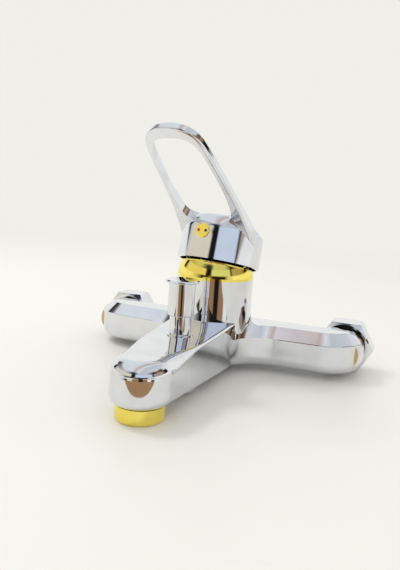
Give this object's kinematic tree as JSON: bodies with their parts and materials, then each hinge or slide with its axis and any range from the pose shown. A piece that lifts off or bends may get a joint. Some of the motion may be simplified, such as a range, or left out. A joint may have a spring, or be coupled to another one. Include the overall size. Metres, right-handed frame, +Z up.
{
  "type": "bath and shower mixer",
  "caption": "Wall-mounted single-lever bath and shower mixer with a flat spout, a looped lever, a pull-up shower diverter and hexagonal union nuts.",
  "frame": {"origin": "midway between the two supply pipes, on the plane of the union nuts' wall-side ends", "axes": "+X from the hot supply on the left to the cold supply on the right, +Y into the wall, +Z up"},
  "size_m": [0.1846, 0.1516, 0.1345],
  "materials": {
    "chrome": "polished chrome plate on brass",
    "gold": "polished gold plate",
    "raw_brass": "machined brass",
    "steel": "stainless steel",
    "seal_rubber": "black rubber",
    "cartridge_plastic": "moulded plastic",
    "aerator_plastic": "moulded plastic",
    "ceramic": "lapped alumina ceramic",
    "red_enamel": "red enamel",
    "dark_enamel": "dark blue enamel"
  },
  "bodies": {
    "mixer": {"body": "chrome", "inlet_tail_left": "raw_brass", "inlet_tail_right": "raw_brass", "inlet_washer_left": "seal_rubber", "inlet_washer_right": "seal_rubber", "aerator_housing": "gold", "aerator_insert": "aerator_plastic", "aerator_washer": "seal_rubber", "shower_outlet": "chrome", "diverter_bonnet": "chrome", "diverter_ring": "seal_rubber", "cartridge_housing": "cartridge_plastic", "cartridge_base": "cartridge_plastic", "port_seals": "seal_rubber", "fixed_disc": "ceramic", "cartridge_nut": "raw_brass", "cover_ring": "gold"},
    "turret": {"cartridge_turret": "cartridge_plastic", "stem_pin": "steel"},
    "lever": {"handle": "chrome", "handle_screw": "steel", "index_plug": "gold", "index_mark_hot": "red_enamel", "index_mark_cold": "dark_enamel", "cartridge_stem": "steel"},
    "disc": {"moving_disc": "ceramic", "disc_carrier": "cartridge_plastic"},
    "diverter": {"diverter_knob": "chrome", "diverter_stem": "steel", "diverter_valve": "raw_brass", "diverter_seals": "seal_rubber", "diverter_spring": "steel"},
    "nut_left": {"union_nut_left": "chrome"},
    "nut_right": {"union_nut_right": "chrome"}
  },
  "joints": [
    {"name": "handle_turn", "type": "hinge", "parent": "mixer", "child": "turret", "pos_m": [0, -0.046, 0.0388], "axis": [0, 0, 1], "range_deg": [-40, 60]},
    {"name": "handle_lift", "type": "hinge", "parent": "turret", "child": "lever", "pos_m": [0, -0.046, 0.0388], "axis": [-0.9848, 0.1736, 0], "range_deg": [-14, 11]},
    {"name": "disc_slide", "type": "slide", "parent": "turret", "child": "disc", "axis": [-0.1736, -0.9848, 0], "range_m": [-0.0027, 0.0022]},
    {"name": "diverter_lift", "type": "slide", "parent": "mixer", "child": "diverter", "axis": [0, 0, 1], "range_m": [0, 0.007], "stiffness_N_per_m": 400, "springref_m": -0.006, "deforming": ["diverter_spring"]},
    {"name": "nut_left_spin", "type": "hinge", "parent": "mixer", "child": "nut_left", "pos_m": [-0.075, 0, 0], "axis": [0, 1, 0], "continuous": true},
    {"name": "nut_right_spin", "type": "hinge", "parent": "mixer", "child": "nut_right", "pos_m": [0.075, 0, 0], "axis": [0, 1, 0], "continuous": true}
  ],
  "couplings": [
    {"joint": "disc_slide", "follows": "handle_lift", "m_per_rad": 0.0108}
  ]
}
